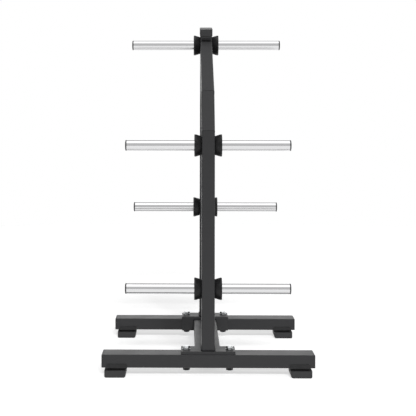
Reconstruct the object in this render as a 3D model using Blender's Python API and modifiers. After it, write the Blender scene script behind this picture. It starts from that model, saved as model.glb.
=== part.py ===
"""Weight plate tree: two floor feet, a tied front and rear upright, and eight horns for plates.

Metres, +Z up. The floor is at Z = 0, the near side is -Y, and the origin is below the middle.
"""
import math

import bmesh
import bpy
from mathutils import Matrix, Vector

# Frame tube
TUBE_WIDTH = 0.0508
TUBE_DEPTH = 0.1016
TUBE_WALL = 0.003
TUBE_CORNER = 0.006
SEAT_GAP = 0.0003
OVERCUT = 0.010

# Floor feet
FOOT_LENGTH = 0.826
FOOT_SPACING = 0.740
END_CAP_HEAD = 0.005
END_CAP_BEVEL = 0.0018
END_CAP_PLUG = 0.022
END_CAP_WALL = 0.0025
CAP_FIT = 0.0004

# Rubber feet
RUBBER_HEIGHT = 0.037
RUBBER_LENGTH = 0.079
RUBBER_LIP = 0.0032
RUBBER_LIP_HEIGHT = 0.0165
RUBBER_LIP_CORNER = 0.008
RUBBER_BODY_HEIGHT = 0.0275
RUBBER_NECK_INSET = 0.005
RUBBER_SHELF = 0.0025
RUBBER_EDGE = 0.0035
RUBBER_CORNER = 0.009
RUBBER_END_INSET = 0.015

# Holes for the screws that hold the rubber feet
PAD_SCREW_RADIUS = 0.004
PAD_POCKET_RADIUS = 0.0085
PAD_POCKET_DEPTH = 0.014
SCREW_CLEARANCE = 0.0005

# Angle brackets between feet, beam and uprights
PLATE_LENGTH = 0.211
PLATE_THICKNESS = 0.012
PLATE_SETBACK = 0.008
PLATE_BEND = 0.008
PLATE_EASE = 0.001

# Bolts through brackets and feet
BOLT_SPACING = 0.1686
BOLT_RADIUS = 0.008
BOLT_FLATS = 0.024
BOLT_HEAD = 0.010
BOLT_TIP = 0.004
NUT_HEIGHT = 0.014
HEX_EDGE = 0.0008
WASHER_RADIUS = 0.015
WASHER_THICKNESS = 0.003
BOLT_CLEARANCE = 0.0006

# Uprights
KNEE_HEIGHT = 0.955
KNEE_ANGLE = math.radians(30.0)
KNEE_LENGTH = 0.184
CROWN_ANGLE = math.radians(60.0)
REAR_LEAN = math.radians(10.5)
REAR_LENGTH = 1.3225

# Web plates in the angle below the crown
GUSSET_THICKNESS = 0.005
GUSSET_INSET = 0.001
GUSSET_TOE = 0.012
GUSSET_DROP = 0.120
GUSSET_ARCH = 0.014

# Cap over the top end of the rear upright
TOP_CAP_HEIGHT = 0.0305
TOP_CAP_WALL = 0.0015
TOP_CAP_ROOF = 0.004
TOP_CAP_BEVEL = 0.0025

# Plate horns
TOP_HORN_DROP = 0.0708
UPPER_FRONT_HORN_HEIGHT = 0.8966
REAR_HORN_HEIGHT = 0.608
LOWER_FRONT_HORN_HEIGHT = 0.335
HORN_REACH = 0.326
HORN_RADIUS = 0.021
HORN_WALL = 0.003
HORN_CHAMFER = 0.001
HORN_CAP_HEAD = 0.006
HORN_CAP_DOME = 0.0006
HORN_CAP_ROUND = 0.002
HORN_CAP_PLUG = 0.020

# Rubber cones between horns and uprights
CONE_LENGTH = 0.0285
CONE_SMALL_RADIUS = 0.0375
CONE_RIM_RADIUS = 0.0436
CONE_RIM_WIDTH = 0.008
CONE_RIM_ROUND = 0.0015
CONE_DISH = 0.003
CONE_FACE_WIDTH = 0.008

# Edges that are eased, by how sharp they are in degrees
SQUARE_EDGES = 60
HEX_EDGES = 30

# Fineness of round forms
CORNER_STEPS = 3
ROD_SIDES = 24
HORN_STEPS = 28
CONE_STEPS = 32
WASHER_STEPS = 24
EDGE_STEPS = 2
BEND_STEPS = 4
ARCH_STEPS = 8
MERGE_DISTANCE = 0.00001

# Heights and places that follow from the sizes above
TUBE_BOTTOM = RUBBER_HEIGHT
TUBE_MIDDLE = TUBE_BOTTOM + TUBE_WIDTH / 2
TUBE_TOP = TUBE_BOTTOM + TUBE_WIDTH
PLATE_UNDERSIDE = TUBE_TOP + SEAT_GAP
PLATE_TOP = PLATE_UNDERSIDE + PLATE_THICKNESS
FRONT_Y = -FOOT_SPACING / 2
REAR_Y = FOOT_SPACING / 2
LEG_INNER = TUBE_DEPTH / 2 + SEAT_GAP
LEG_OUTER = LEG_INNER + PLATE_THICKNESS
FRONT_FACE_Y = FRONT_Y - TUBE_DEPTH / 2 + PLATE_SETBACK
REAR_BASE_Y = REAR_Y - (LEG_OUTER - TUBE_DEPTH / 2 + PLATE_SETBACK) / 2
RUBBER_X = FOOT_LENGTH / 2 - RUBBER_END_INSET - RUBBER_LENGTH / 2
SIDES = {"left": -1, "right": 1}
FEET = {"front": FRONT_Y, "rear": REAR_Y}


def clear_scene():
    """Remove every object of the opened file."""
    for item in list(bpy.data.objects):
        bpy.data.objects.remove(item, do_unlink=True)


def add_collection(name):
    """Make a collection and hang it in the scene."""
    collection = bpy.data.collections.new(name)
    bpy.context.scene.collection.children.link(collection)
    return collection


def add_material(name, colour, roughness, metallic):
    """Make a Principled material of one colour."""
    material = bpy.data.materials.new(name)
    material.use_nodes = True
    shader = material.node_tree.nodes["Principled BSDF"]
    shader.inputs["Base Color"].default_value = (*colour, 1.0)
    shader.inputs["Roughness"].default_value = roughness
    shader.inputs["Metallic"].default_value = metallic
    material.diffuse_color = (*colour, 1.0)
    return material


def mesh_from(bm, name):
    """Turn an edited mesh into mesh data with its faces pointing outwards."""
    bmesh.ops.recalc_face_normals(bm, faces=bm.faces)
    mesh = bpy.data.meshes.new(name)
    bm.to_mesh(mesh)
    bm.free()
    return mesh


def add_part(name, mesh, material, matrix=Matrix()):
    """Add a sub-part with its own copy of a material."""
    part = bpy.data.objects.new(name, mesh)
    part.matrix_world = matrix
    mesh.materials.clear()
    mesh.materials.append(material)
    PARTS.objects.link(part)
    return part


def combine(part, label, bm, matrix, operation):
    """Cut, join or intersect a sub-part with a shape that stays in the cutter collection."""
    name = part.name + "_" + label
    cutter = bpy.data.objects.new(name, mesh_from(bm, name))
    cutter.matrix_world = matrix
    cutter.hide_render = True
    cutter.display_type = "WIRE"
    CUTTERS.objects.link(cutter)
    boolean = part.modifiers.new(label, "BOOLEAN")
    boolean.operation = operation
    boolean.solver = "EXACT"
    boolean.object = cutter


def cut(part, label, bm, matrix):
    """Take a shape away from a sub-part."""
    combine(part, label, bm, matrix, "DIFFERENCE")


def join(part, label, bm, matrix):
    """Make a shape one body with a sub-part."""
    combine(part, label, bm, matrix, "UNION")


def shade_smooth(part, sharp_angle=math.radians(35)):
    """Shade a round piece smooth and keep its corners."""
    part.data.shade_smooth()
    part.data.set_sharp_from_angle(angle=sharp_angle)


def arc(centre, radius, start, end, steps):
    """Points of a round stretch of an outline, angles in degrees."""
    points = []
    for step in range(steps + 1):
        angle = math.radians(start + (end - start) * step / steps)
        points.append((centre[0] + radius * math.cos(angle), centre[1] + radius * math.sin(angle)))
    return points


def rounded_rectangle(width, depth, radius):
    """Outline of a rectangle with round corners."""
    points = []
    for corner, (sign_x, sign_y) in enumerate(((1, 1), (-1, 1), (-1, -1), (1, -1))):
        centre = (sign_x * (width / 2 - radius), sign_y * (depth / 2 - radius))
        points += arc(centre, radius, 90 * corner, 90 * (corner + 1), CORNER_STEPS)
    return points


def flat_solid(outline, thickness):
    """Closed outline of (x, y) pairs as a solid that is centred on its own plane."""
    curve = bpy.data.curves.new("outline", "CURVE")
    curve.dimensions = "2D"
    curve.fill_mode = "BOTH"
    curve.extrude = thickness / 2
    spline = curve.splines.new("POLY")
    spline.points.add(len(outline) - 1)
    for point, (x, y) in zip(spline.points, outline):
        point.co = (x, y, 0.0, 1.0)
    spline.use_cyclic_u = True
    flat = bpy.data.objects.new("outline", curve)
    bpy.context.scene.collection.objects.link(flat)
    bpy.context.view_layer.update()
    evaluated = flat.evaluated_get(bpy.context.evaluated_depsgraph_get())
    mesh = bpy.data.meshes.new_from_object(evaluated)
    bpy.data.objects.remove(flat, do_unlink=True)
    bm = bmesh.new()
    bm.from_mesh(mesh)
    bmesh.ops.remove_doubles(bm, verts=bm.verts, dist=MERGE_DISTANCE)
    bpy.data.meshes.remove(mesh)
    return bm


def bar(width, depth, radius, low, high):
    """Solid bar along Z with round long edges."""
    bm = flat_solid(rounded_rectangle(width, depth, radius), high - low)
    bmesh.ops.translate(bm, vec=(0.0, 0.0, (low + high) / 2), verts=bm.verts)
    return bm


def rod(radius, low, high, sides=ROD_SIDES):
    """Solid round bar along Z, or a prism where it has few sides."""
    bm = bmesh.new()
    middle = Matrix.Translation((0.0, 0.0, (low + high) / 2))
    bmesh.ops.create_cone(
        bm,
        cap_ends=True,
        segments=sides,
        radius1=radius,
        radius2=radius,
        depth=high - low,
        matrix=middle,
    )
    return bm


def hexagon(low, high):
    """Hexagon prism of a bolt head or a nut, with two corners along X."""
    bm = rod(BOLT_FLATS / math.sqrt(3), low, high, 6)
    quarter_turn = Matrix.Rotation(math.radians(90), 3, "Z")
    bmesh.ops.rotate(bm, matrix=quarter_turn, verts=bm.verts)
    return bm


def ease_edges(part, width, segments, angle):
    """Round the edges of a sub-part that are sharper than an angle in degrees."""
    bevel = part.modifiers.new("eased edges", "BEVEL")
    bevel.width = width
    bevel.segments = segments
    bevel.limit_method = "ANGLE"
    bevel.angle_limit = math.radians(angle)


def turned(name, profile, material, matrix, steps):
    """Closed profile of (radius, height) pairs, turned about Z."""
    bm = bmesh.new()
    verts = [bm.verts.new((radius, 0.0, z)) for radius, z in profile]
    on_axis = profile[0][0] == 0.0 and profile[-1][0] == 0.0
    for first, second in zip(verts, verts[1:]):
        bm.edges.new((first, second))
    if not on_axis:
        bm.edges.new((verts[-1], verts[0]))
    mesh = bpy.data.meshes.new(name)
    bm.to_mesh(mesh)
    bm.free()
    part = add_part(name, mesh, material, matrix)
    shade_smooth(part)
    screw = part.modifiers.new("turn", "SCREW")
    screw.axis = "Z"
    screw.steps = steps
    screw.render_steps = steps
    screw.use_merge_vertices = True
    screw.merge_threshold = MERGE_DISTANCE
    screw.use_smooth_shade = True
    return part


def direction(angle):
    """Unit vector in the side view, leaning back from the vertical by an angle."""
    return Vector((0.0, math.sin(angle), math.cos(angle)))


def leaning(point, angle):
    """Frame of a tube whose Z runs along it and whose Y points to its rear face."""
    return Matrix.Translation(point) @ Matrix.Rotation(-angle, 4, "X")


def trim(bm, matrix, point, normal):
    """Cut away what lies beyond a plane given in the scene, and close the cut."""
    inverse = matrix.inverted()
    geometry = bm.verts[:] + bm.edges[:] + bm.faces[:]
    result = bmesh.ops.bisect_plane(
        bm, geom=geometry, plane_co=inverse @ point, plane_no=inverse.to_3x3() @ normal, clear_outer=True
    )
    rim = [item for item in result["geom_cut"] if isinstance(item, bmesh.types.BMEdge)]
    bmesh.ops.holes_fill(bm, edges=rim, sides=0)


def tube(name, matrix, low, high, planes=()):
    """Open rectangular tube along its own Z, trimmed by planes."""
    outside = bar(TUBE_WIDTH, TUBE_DEPTH, TUBE_CORNER, low, high)
    for point, normal in planes:
        trim(outside, matrix, point, normal)
    part = add_part(name, mesh_from(outside, name), POWDER_COAT, matrix)
    shade_smooth(part)
    inner_width = TUBE_WIDTH - 2 * TUBE_WALL
    inner_depth = TUBE_DEPTH - 2 * TUBE_WALL
    bore = bar(inner_width, inner_depth, TUBE_CORNER - TUBE_WALL, low - OVERCUT, high + OVERCUT)
    cut(part, "bore", bore, matrix)
    return part


def bolt_places():
    """Axis of each base bolt at floor height, by foot and side."""
    places = {}
    for row, y in FEET.items():
        for side, sign in SIDES.items():
            places[row, side] = Matrix.Translation((sign * BOLT_SPACING / 2, y, 0.0))
    return places


def pad_place(row, side):
    """Middle of a rubber foot on the floor."""
    return Matrix.Translation((SIDES[side] * RUBBER_X, FEET[row], 0.0))


def make_foot_tube(row):
    """Floor tube across the object, drilled for its bolts and for its rubber feet."""
    half = FOOT_LENGTH / 2 - END_CAP_HEAD - SEAT_GAP
    matrix = Matrix.Translation((0.0, FEET[row], TUBE_MIDDLE)) @ Matrix.Rotation(math.radians(90), 4, "Y")
    part = tube(row + "_foot_tube", matrix, -half, half)
    for side in SIDES:
        bolt_hole = rod(BOLT_RADIUS + BOLT_CLEARANCE, TUBE_BOTTOM - OVERCUT, TUBE_TOP + OVERCUT)
        cut(part, "bolt_hole_" + side, bolt_hole, bolt_places()[row, side])
        pad_hole = rod(PAD_SCREW_RADIUS + SCREW_CLEARANCE, TUBE_BOTTOM - OVERCUT, TUBE_MIDDLE)
        cut(part, "pad_hole_" + side, pad_hole, pad_place(row, side))


def make_end_cap(row, side):
    """Moulded cap with a bevelled head and an open plug, pressed into a foot tube."""
    sign = SIDES[side]
    seat = Vector((sign * (FOOT_LENGTH / 2 - END_CAP_HEAD), FEET[row], TUBE_MIDDLE))
    matrix = Matrix.Translation(seat) @ Matrix.Rotation(sign * math.radians(90), 4, "Y")
    name = f"foot_end_cap_{row}_{side}"
    head = bar(TUBE_WIDTH, TUBE_DEPTH, TUBE_CORNER, 0.0, END_CAP_HEAD)
    part = add_part(name, mesh_from(head, name), MOULDED_PLASTIC, matrix)
    shade_smooth(part)
    ease_edges(part, END_CAP_BEVEL, 1, SQUARE_EDGES)
    plug_width = TUBE_WIDTH - 2 * TUBE_WALL - 2 * CAP_FIT
    plug_depth = TUBE_DEPTH - 2 * TUBE_WALL - 2 * CAP_FIT
    plug_corner = TUBE_CORNER - TUBE_WALL
    plug = bar(plug_width, plug_depth, plug_corner, -END_CAP_PLUG, END_CAP_HEAD / 2)
    join(part, "plug", plug, matrix)
    inner_width = plug_width - 2 * END_CAP_WALL
    inner_depth = plug_depth - 2 * END_CAP_WALL
    hollow = bar(inner_width, inner_depth, plug_corner, -END_CAP_PLUG - OVERCUT, 0.0)
    cut(part, "hollow", hollow, matrix)


def make_rubber_foot(row, side):
    """Rubber foot: a block on the floor, a neck, and lips that grip the tube's two faces."""
    width = RUBBER_LENGTH
    depth = TUBE_DEPTH + 2 * SEAT_GAP + 2 * RUBBER_LIP
    name = f"rubber_foot_{row}_{side}"
    matrix = pad_place(row, side)
    block = bar(width, depth, RUBBER_CORNER, 0.0, RUBBER_BODY_HEIGHT)
    part = add_part(name, mesh_from(block, name), RUBBER, matrix)
    shade_smooth(part)
    ease_edges(part, RUBBER_EDGE, EDGE_STEPS, SQUARE_EDGES)

    shelf = TUBE_BOTTOM - RUBBER_SHELF
    neck_inset = 2 * RUBBER_NECK_INSET
    neck_low = RUBBER_BODY_HEIGHT - RUBBER_EDGE
    neck = bar(width - neck_inset, depth - neck_inset, RUBBER_CORNER, neck_low, shelf + RUBBER_SHELF / 2)
    join(part, "neck", neck, matrix)

    lip_height = RUBBER_SHELF + RUBBER_LIP_HEIGHT
    lip_middle = shelf + lip_height / 2
    top = RUBBER_LIP_CORNER
    outline = arc((width / 2 - top, lip_height / 2 - top), top, 0, 90, CORNER_STEPS + 1)
    outline += arc((top - width / 2, lip_height / 2 - top), top, 90, 180, CORNER_STEPS + 1)
    outline += [(-width / 2, -lip_height / 2), (width / 2, -lip_height / 2)]
    saddle_place = Matrix.Translation((0.0, 0.0, lip_middle)) @ Matrix.Rotation(math.radians(90), 4, "X")
    join(part, "saddle", flat_solid(outline, depth), matrix @ saddle_place)

    slot_half = width / 2 + OVERCUT
    slot = bar(TUBE_WIDTH + 2 * SEAT_GAP, TUBE_DEPTH + 2 * SEAT_GAP, TUBE_CORNER, -slot_half, slot_half)
    slot_place = Matrix.Translation((0.0, 0.0, TUBE_MIDDLE)) @ Matrix.Rotation(math.radians(90), 4, "Y")
    cut(part, "tube_slot", slot, matrix @ slot_place)
    cut(part, "screw_hole", rod(PAD_SCREW_RADIUS + SCREW_CLEARANCE, 0.0, TUBE_MIDDLE), matrix)
    cut(part, "screw_pocket", rod(PAD_POCKET_RADIUS, -OVERCUT, PAD_POCKET_DEPTH), matrix)


def make_bracket(row):
    """Angle bracket: a plate on top of the foot and a leg down its inner face."""
    toward_middle = 1 if row == "front" else -1
    edge_y = PLATE_SETBACK - TUBE_DEPTH / 2
    outline = [
        (edge_y, PLATE_UNDERSIDE),
        (LEG_INNER, PLATE_UNDERSIDE),
        (LEG_INNER, TUBE_BOTTOM),
        (LEG_OUTER, TUBE_BOTTOM),
    ]
    outline += arc((LEG_OUTER - PLATE_BEND, PLATE_TOP - PLATE_BEND), PLATE_BEND, 0, 90, BEND_STEPS)
    outline += [(edge_y + PLATE_EASE, PLATE_TOP), (edge_y, PLATE_TOP - PLATE_EASE)]
    across = Matrix(((0, 0, 1, 0), (toward_middle, 0, 0, FEET[row]), (0, 1, 0, 0), (0, 0, 0, 1)))
    name = row + "_bracket"
    part = add_part(name, mesh_from(flat_solid(outline, PLATE_LENGTH), name), POWDER_COAT, across)
    shade_smooth(part)
    for side in SIDES:
        hole = rod(BOLT_RADIUS + BOLT_CLEARANCE, TUBE_MIDDLE, PLATE_TOP + OVERCUT)
        cut(part, "hole_" + side, hole, bolt_places()[row, side])


def make_bolt(name, matrix):
    """Hexagon bolt that stands head up through bracket and foot."""
    seat = PLATE_TOP + WASHER_THICKNESS + 2 * SEAT_GAP
    tip = TUBE_BOTTOM - WASHER_THICKNESS - NUT_HEIGHT - BOLT_TIP
    part = add_part(name, mesh_from(hexagon(seat, seat + BOLT_HEAD), name), ZINC_STEEL, matrix)
    ease_edges(part, HEX_EDGE, 1, HEX_EDGES)
    join(part, "shank", rod(BOLT_RADIUS, tip, seat + BOLT_HEAD / 2), matrix)


def make_nut(name, matrix):
    """Hexagon nut on the bolt, below the foot."""
    top = TUBE_BOTTOM - WASHER_THICKNESS - 2 * SEAT_GAP
    low = top - NUT_HEIGHT
    part = add_part(name, mesh_from(hexagon(low, top), name), BLACK_STEEL, matrix)
    ease_edges(part, HEX_EDGE, 1, HEX_EDGES)
    cut(part, "bore", rod(BOLT_RADIUS + SEAT_GAP, low - OVERCUT, top + OVERCUT), matrix)


def make_washer(name, low, material, matrix):
    """Flat washer that lies on a height."""
    bore = BOLT_RADIUS + SEAT_GAP
    high = low + WASHER_THICKNESS
    profile = [(bore, high), (WASHER_RADIUS, high), (WASHER_RADIUS, low), (bore, low)]
    turned(name, profile, material, matrix, WASHER_STEPS)


def make_base_fasteners():
    """Bolt, nut and two washers at each bolt axis."""
    for (row, side), place in bolt_places().items():
        make_bolt(f"bolt_{row}_{side}", place)
        make_nut(f"nut_{row}_{side}", place)
        make_washer(f"bolt_washer_{row}_{side}", PLATE_TOP + SEAT_GAP, ZINC_STEEL, place)
        under_foot = TUBE_BOTTOM - WASHER_THICKNESS - SEAT_GAP
        make_washer(f"nut_washer_{row}_{side}", under_foot, BLACK_STEEL, place)


def make_centre_beam():
    """Flat tube that ties the two brackets together at the height of the feet."""
    half = FOOT_SPACING / 2 - LEG_OUTER - SEAT_GAP
    matrix = Matrix(((0, 1, 0, 0), (0, 0, 1, 0), (1, 0, 0, TUBE_MIDDLE), (0, 0, 0, 1)))
    tube("centre_beam", matrix, -half, half)


def front_tube(name, face_point, angle, low, high, planes):
    """Part of the front upright, placed by a point on its front face."""
    middle = leaning(face_point, angle) @ Vector((0.0, TUBE_DEPTH / 2, 0.0))
    tube(name, leaning(middle, angle), low, high, planes)


def make_front_upright():
    """Vertical tube, knee and crown, mitred to each other; the crown meets the rear upright."""
    knee = Vector((0.0, FRONT_FACE_Y, KNEE_HEIGHT))
    crown = knee + KNEE_LENGTH * direction(KNEE_ANGLE)
    knee_mitre = direction(KNEE_ANGLE / 2)
    crown_mitre = direction((KNEE_ANGLE + CROWN_ANGLE) / 2)
    rear_face, rear_normal = rear_front_face()
    half_gap = SEAT_GAP / 2
    spare = TUBE_DEPTH
    front_tube(
        "front_upright",
        knee,
        0.0,
        PLATE_TOP + SEAT_GAP - KNEE_HEIGHT,
        spare,
        [(knee - half_gap * knee_mitre, knee_mitre)],
    )
    front_tube(
        "front_upright_knee",
        knee,
        KNEE_ANGLE,
        -spare,
        KNEE_LENGTH + spare,
        [(knee + half_gap * knee_mitre, -knee_mitre), (crown - half_gap * crown_mitre, crown_mitre)],
    )
    crown_length = (rear_face - crown).dot(rear_normal) / direction(CROWN_ANGLE).dot(rear_normal)
    front_tube(
        "front_upright_crown",
        crown,
        CROWN_ANGLE,
        -spare,
        crown_length + spare,
        [(crown + half_gap * crown_mitre, -crown_mitre), (rear_face - SEAT_GAP * rear_normal, rear_normal)],
    )
    return crown


def rear_base():
    """Middle of the rear upright where it stands on its bracket."""
    return Vector((0.0, REAR_BASE_Y, PLATE_TOP))


def rear_front_face():
    """A point on the rear upright's front face, and the normal that points into the tube."""
    inward = Vector((0.0, math.cos(REAR_LEAN), math.sin(REAR_LEAN)))
    return rear_base() - TUBE_DEPTH / 2 * inward, inward


def make_rear_upright():
    """Straight tube that leans forward from its bracket to the top."""
    floor_cut = (Vector((0.0, 0.0, PLATE_TOP + SEAT_GAP)), Vector((0.0, 0.0, -1.0)))
    tube("rear_upright", leaning(rear_base(), -REAR_LEAN), -TUBE_DEPTH, REAR_LENGTH, [floor_cut])


def make_top_cap():
    """Moulded cap that slips over the top end of the rear upright."""
    name = "upright_top_cap"
    fit = TOP_CAP_WALL + CAP_FIT
    roof = REAR_LENGTH + SEAT_GAP
    top = roof + TOP_CAP_ROOF
    low = top - TOP_CAP_HEIGHT
    matrix = leaning(rear_base(), -REAR_LEAN)
    shell = bar(TUBE_WIDTH + 2 * fit, TUBE_DEPTH + 2 * fit, TUBE_CORNER + fit, low, top)
    part = add_part(name, mesh_from(shell, name), MOULDED_PLASTIC, matrix)
    shade_smooth(part)
    ease_edges(part, TOP_CAP_BEVEL, EDGE_STEPS, SQUARE_EDGES)
    inner_width = TUBE_WIDTH + 2 * CAP_FIT
    inner_depth = TUBE_DEPTH + 2 * CAP_FIT
    cut(part, "inside", bar(inner_width, inner_depth, TUBE_CORNER + CAP_FIT, low - OVERCUT, roof), matrix)


def make_gussets(crown):
    """Pair of web plates in the angle between crown and rear upright, arched below."""
    along = direction(CROWN_ANGLE)
    down = Vector((0.0, math.cos(CROWN_ANGLE), -math.sin(CROWN_ANGLE)))
    half_bend = (CROWN_ANGLE - KNEE_ANGLE) / 2
    inner_corner = crown + TUBE_DEPTH * (down + math.tan(half_bend) * along)
    start = inner_corner + SEAT_GAP * down
    rear_face, rear_normal = rear_front_face()
    edge_point = rear_face - SEAT_GAP * rear_normal
    upward = direction(-REAR_LEAN)
    toe = start + GUSSET_TOE * along
    peak = start + along * ((edge_point - start).dot(rear_normal) / along.dot(rear_normal))
    heel = peak - GUSSET_DROP * upward
    outline = [(point.y, point.z) for point in (toe, peak, heel)]
    for step in range(1, ARCH_STEPS):
        share = step / ARCH_STEPS
        point = heel.lerp(toe, share)
        rise = GUSSET_ARCH * math.sin(math.pi * share)
        outline.append((point.y, point.z + rise))
    for side, sign in SIDES.items():
        x = sign * (TUBE_WIDTH / 2 - GUSSET_INSET - GUSSET_THICKNESS / 2)
        matrix = Matrix(((0, 0, 1, x), (1, 0, 0, 0), (0, 1, 0, 0), (0, 0, 0, 1)))
        name = "crown_gusset_" + side
        part = add_part(name, mesh_from(flat_solid(outline, GUSSET_THICKNESS), name), POWDER_COAT, matrix)
        shade_smooth(part)


def rear_axis_point(height):
    """Point on the rear upright's axis at a height above the floor."""
    base = rear_base()
    upward = direction(-REAR_LEAN)
    return base + upward * ((height - base.z) / upward.z)


def front_axis_point(height):
    """Point on the vertical front upright's axis at a height above the floor."""
    return Vector((0.0, FRONT_FACE_Y + TUBE_DEPTH / 2, height))


def horn_rows():
    """Axis point of each row of horns, from the top row down."""
    return (
        rear_base() + (REAR_LENGTH - TOP_HORN_DROP) * direction(-REAR_LEAN),
        front_axis_point(UPPER_FRONT_HORN_HEIGHT),
        rear_axis_point(REAR_HORN_HEIGHT),
        front_axis_point(LOWER_FRONT_HORN_HEIGHT),
    )


def horn_place(axis_point, side):
    """Frame on the side face of an upright, Z pointing outwards along a horn."""
    sign = SIDES[side]
    face = axis_point + Vector((sign * (TUBE_WIDTH / 2 + SEAT_GAP), 0.0, 0.0))
    return Matrix.Translation(face) @ Matrix.Rotation(sign * math.radians(90), 4, "Y")


def make_horn(name, matrix):
    """Open round tube that is welded to the upright."""
    length = HORN_REACH - TUBE_WIDTH / 2 - 2 * SEAT_GAP - HORN_CAP_HEAD
    inner = HORN_RADIUS - HORN_WALL
    profile = [
        (HORN_RADIUS - HORN_CHAMFER, length),
        (HORN_RADIUS, length - HORN_CHAMFER),
        (HORN_RADIUS, 0.0),
        (inner, 0.0),
        (inner, length),
    ]
    turned(name, profile, CHROME, matrix, HORN_STEPS)
    return length


def make_horn_cap(name, matrix, horn_length):
    """Plug with a slightly domed head that closes a horn."""
    seat = horn_length + SEAT_GAP
    plug = HORN_RADIUS - HORN_WALL - CAP_FIT
    rim_centre = (HORN_RADIUS - HORN_CAP_ROUND, seat + HORN_CAP_HEAD - HORN_CAP_DOME - HORN_CAP_ROUND)
    profile = [(0.0, seat + HORN_CAP_HEAD)]
    profile += arc(rim_centre, HORN_CAP_ROUND, 90, 0, EDGE_STEPS)
    profile += [
        (HORN_RADIUS, seat),
        (plug, seat),
        (plug, seat - HORN_CAP_PLUG),
        (0.0, seat - HORN_CAP_PLUG),
    ]
    turned(name, profile, MOULDED_PLASTIC, matrix, HORN_STEPS)


def make_cone(name, matrix):
    """Rubber cone around the root of a horn: small at the upright, wide where plates stop."""
    bore = HORN_RADIUS + SEAT_GAP
    rim = CONE_RIM_RADIUS
    edge = CONE_RIM_ROUND
    profile = [
        (bore, CONE_LENGTH - CONE_DISH),
        (rim - CONE_FACE_WIDTH - CONE_DISH, CONE_LENGTH - CONE_DISH),
        (rim - CONE_FACE_WIDTH, CONE_LENGTH),
        (rim - edge, CONE_LENGTH),
        (rim, CONE_LENGTH - edge),
        (rim, CONE_LENGTH - CONE_RIM_WIDTH),
        (CONE_SMALL_RADIUS, 0.0),
        (bore, 0.0),
    ]
    turned(name, profile, RUBBER, matrix, CONE_STEPS)


def make_horn_rows():
    """Horn, cone and plug for each side of each row."""
    for number, axis_point in enumerate(horn_rows(), start=1):
        for side in SIDES:
            matrix = horn_place(axis_point, side)
            length = make_horn(f"horn_{number}_{side}", matrix)
            make_horn_cap(f"horn_cap_{number}_{side}", matrix, length)
            make_cone(f"horn_cone_{number}_{side}", matrix)


clear_scene()
PARTS = add_collection("weight_plate_tree")
CUTTERS = add_collection("cutters")
POWDER_COAT = add_material("black_powder_coat", (0.030, 0.030, 0.032), 0.28, 0.0)
MOULDED_PLASTIC = add_material("moulded_plastic", (0.022, 0.022, 0.023), 0.45, 0.0)
RUBBER = add_material("rubber", (0.014, 0.014, 0.014), 0.70, 0.0)
CHROME = add_material("chrome_plate", (0.82, 0.82, 0.83), 0.10, 1.0)
ZINC_STEEL = add_material("zinc_plated_steel", (0.62, 0.62, 0.60), 0.30, 1.0)
BLACK_STEEL = add_material("black_oxide_steel", (0.030, 0.030, 0.030), 0.45, 1.0)

for row_name in FEET:
    make_foot_tube(row_name)
    make_bracket(row_name)
    for side_name in SIDES:
        make_end_cap(row_name, side_name)
        make_rubber_foot(row_name, side_name)
make_centre_beam()
make_base_fasteners()
make_gussets(make_front_upright())
make_rear_upright()
make_top_cap()
make_horn_rows()
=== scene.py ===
"""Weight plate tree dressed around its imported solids: coated tube, chromed horns, rubber and plastic."""

import math

import bpy
from mathutils import Matrix, Vector


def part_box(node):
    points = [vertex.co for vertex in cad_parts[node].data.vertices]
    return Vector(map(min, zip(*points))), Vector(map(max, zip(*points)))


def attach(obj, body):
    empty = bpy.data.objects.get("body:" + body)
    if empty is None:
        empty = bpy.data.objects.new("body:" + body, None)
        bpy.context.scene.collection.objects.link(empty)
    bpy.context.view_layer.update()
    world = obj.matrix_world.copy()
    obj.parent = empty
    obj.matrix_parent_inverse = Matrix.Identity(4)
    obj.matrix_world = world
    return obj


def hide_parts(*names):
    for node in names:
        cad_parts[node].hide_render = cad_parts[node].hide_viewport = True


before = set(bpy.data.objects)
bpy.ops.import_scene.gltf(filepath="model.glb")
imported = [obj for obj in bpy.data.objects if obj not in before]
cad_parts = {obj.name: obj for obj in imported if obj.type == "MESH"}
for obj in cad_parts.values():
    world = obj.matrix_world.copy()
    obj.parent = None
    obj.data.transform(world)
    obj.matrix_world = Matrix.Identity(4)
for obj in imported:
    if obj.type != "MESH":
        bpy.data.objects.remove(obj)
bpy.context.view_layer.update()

bl_info = {
    "name": "Weight plate tree",
    "version": (1, 0, 0),
    "blender": (4, 5, 0),
    "location": "3D Viewport > Sidebar > Plate Tree",
    "description": "Dresses the packed solids of a weight plate tree and sets its studio",
    "category": "Object",
}

BODY = "root"
SIDES = {"left": -1, "right": 1}
ROWS = (1, 2, 3, 4)
FEET = [f"{row}_{side}" for row in ("front", "rear") for side in SIDES]
TUBES = ["front_foot_tube", "rear_foot_tube", "centre_beam", "front_upright", "front_upright_knee"]
TUBES += ["front_upright_crown", "rear_upright"]
PLATES = ["front_bracket", "rear_bracket", "crown_gusset_left", "crown_gusset_right"]
CAPS = [f"foot_end_cap_{foot}" for foot in FEET] + ["upright_top_cap"]

# Lean of the tubes from upright, in degrees: knee and crown lean back, the rear upright leans forward
KNEE_LEAN = 30
CROWN_LEAN = 60
REAR_LEAN = 10.5

# Play between a piece and what it slips over, and the least step that is modelled
CLEARANCE = 0.0003
HAIR = 0.0002
# How far a cutter runs past the face that it opens
PAST = 0.01
# Distance within which points are merged, and the bend in degrees up to which faces count as one
MERGE = 0.00001
FLAT_WITHIN = 0.5
# Sides of the turned pieces on the horns, of washers, and of bolts, nuts and screws
HORN_SIDES = 96
WASHER_SIDES = 64
BOLT_SIDES = 48

# How closely a face must look along a direction, and how little a side face may, to count
ALIGNED = 0.995
ALIGNED_ASIDE = 0.5
# Radius of a weld bead between two ripples, as a share of its radius on one, and that of a web plate's bead
# beside a ground seam's
RIPPLE_WAIST = 0.88
WEB_BEAD = 2

# Top of the cutters that round a rubber foot's upright corners, and a reach beyond every face of it
PLAN_TOP = 0.05
FOOT_REACH = 0.1
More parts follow.
